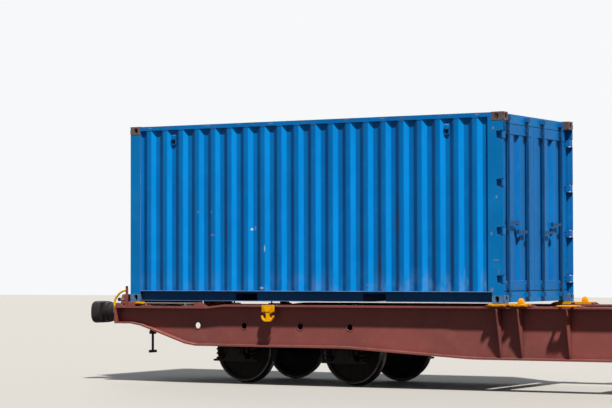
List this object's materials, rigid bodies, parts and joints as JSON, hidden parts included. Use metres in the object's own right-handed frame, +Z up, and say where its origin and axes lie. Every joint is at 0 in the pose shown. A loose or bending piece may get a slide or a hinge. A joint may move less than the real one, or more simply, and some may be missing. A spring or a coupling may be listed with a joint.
{
  "type": "bogie flatcar carrying a freight container",
  "caption": "Long container flatcar with deep side sills on two bogies, with one corrugated steel freight container standing at one end.",
  "frame": {"origin": "under the middle of the wagon, at the lowest point of the wheel flanges", "axes": "+X along the wagon from the container's blind end, +Y across it to the far side, +Z up"},
  "size_m": [26.183, 2.67, 3.774],
  "materials": {
    "bogie_paint": "dark dusty paint",
    "buffer_steel": "dark grey, greasy",
    "casting_steel": "blue paint worn to brown primer and bare steel",
    "container_paint": "bright blue gloss paint with rust scratches",
    "door_rubber": "black sealing rubber",
    "floor_wood": "oiled plywood",
    "galvanised_steel": "painted over zinc, worn",
    "tank_paint": "dark paint",
    "vent_plastic": "painted with the wall",
    "wagon_paint": "red-brown paint, dusty",
    "wheel_steel": "worn steel treads, rusty discs",
    "yellow_paint": "yellow paint, chipped"
  },
  "bodies": {
    "root": {"air_reservoirs": "tank_paint", "bolsters": "wagon_paint", "buffer_casings": "buffer_steel", "buffer_heads": "buffer_steel", "container_bottom_rails": "container_paint", "container_castings": "casting_steel", "container_door_frame": "container_paint", "container_floor": "floor_wood", "container_floor_members": "container_paint", "container_front_frame": "container_paint", "container_front_wall": "container_paint", "container_hinge_pins": "galvanised_steel", "container_keepers": "container_paint", "container_roof": "container_paint", "container_side_far": "container_paint", "container_side_near": "container_paint", "container_top_rails": "container_paint", "container_vents": "vent_plastic", "cross_bearers": "wagon_paint", "draw_hooks": "buffer_steel", "draw_sills": "wagon_paint", "folded_spigots": "yellow_paint", "handrail_plates": "wagon_paint", "handrails": "yellow_paint", "headstocks": "wagon_paint", "screw_couplings": "buffer_steel", "side_sill_far": "wagon_paint", "side_sill_near": "wagon_paint", "spigot_seats": "yellow_paint", "spigots": "yellow_paint"},
    "bogie_left": {"bogie_left_axle_boxes": "bogie_paint", "bogie_left_bowl": "bogie_paint", "bogie_left_brakes": "bogie_paint", "bogie_left_frame": "bogie_paint", "bogie_left_springs": "bogie_paint"},
    "bogie_right": {"bogie_right_axle_boxes": "bogie_paint", "bogie_right_bowl": "bogie_paint", "bogie_right_brakes": "bogie_paint", "bogie_right_frame": "bogie_paint", "bogie_right_springs": "bogie_paint"},
    "door_far": {"door_far_gasket": "door_rubber", "door_far_hinges": "container_paint", "door_far_leaf": "container_paint", "door_far_lock_bars": "galvanised_steel"},
    "door_near": {"door_near_gasket": "door_rubber", "door_near_hinges": "container_paint", "door_near_leaf": "container_paint", "door_near_lock_bars": "galvanised_steel"},
    "wheelset_left_inner": {"wheelset_left_inner": "wheel_steel"},
    "wheelset_left_outer": {"wheelset_left_outer": "wheel_steel"},
    "wheelset_right_inner": {"wheelset_right_inner": "wheel_steel"},
    "wheelset_right_outer": {"wheelset_right_outer": "wheel_steel"}
  },
  "joints": [
    {"name": "bogie_left_swivel", "type": "hinge", "parent": "root", "child": "bogie_left", "pos_m": [-9.65, 0, 0.9], "axis": [0, 0, 1], "range_deg": [-3.5, 3.5]},
    {"name": "wheelset_left_outer_spin", "type": "hinge", "parent": "bogie_left", "child": "wheelset_left_outer", "pos_m": [-10.55, 0, 0.488], "axis": [0, 1, 0], "continuous": true},
    {"name": "wheelset_left_inner_spin", "type": "hinge", "parent": "bogie_left", "child": "wheelset_left_inner", "pos_m": [-8.75, 0, 0.488], "axis": [0, 1, 0], "continuous": true},
    {"name": "bogie_right_swivel", "type": "hinge", "parent": "root", "child": "bogie_right", "pos_m": [9.65, 0, 0.9], "axis": [0, 0, 1], "range_deg": [-3.5, 3.5]},
    {"name": "wheelset_right_outer_spin", "type": "hinge", "parent": "bogie_right", "child": "wheelset_right_outer", "pos_m": [10.55, 0, 0.488], "axis": [0, 1, 0], "continuous": true},
    {"name": "wheelset_right_inner_spin", "type": "hinge", "parent": "bogie_right", "child": "wheelset_right_inner", "pos_m": [8.75, 0, 0.488], "axis": [0, 1, 0], "continuous": true},
    {"name": "door_near_swing", "type": "hinge", "parent": "root", "child": "door_near", "pos_m": [-6.2355, -1.202, 2.4], "axis": [0, 0, -1], "range_deg": [0, 270]},
    {"name": "door_far_swing", "type": "hinge", "parent": "root", "child": "door_far", "pos_m": [-6.2355, 1.202, 2.4], "axis": [0, 0, 1], "range_deg": [0, 270]}
  ]
}
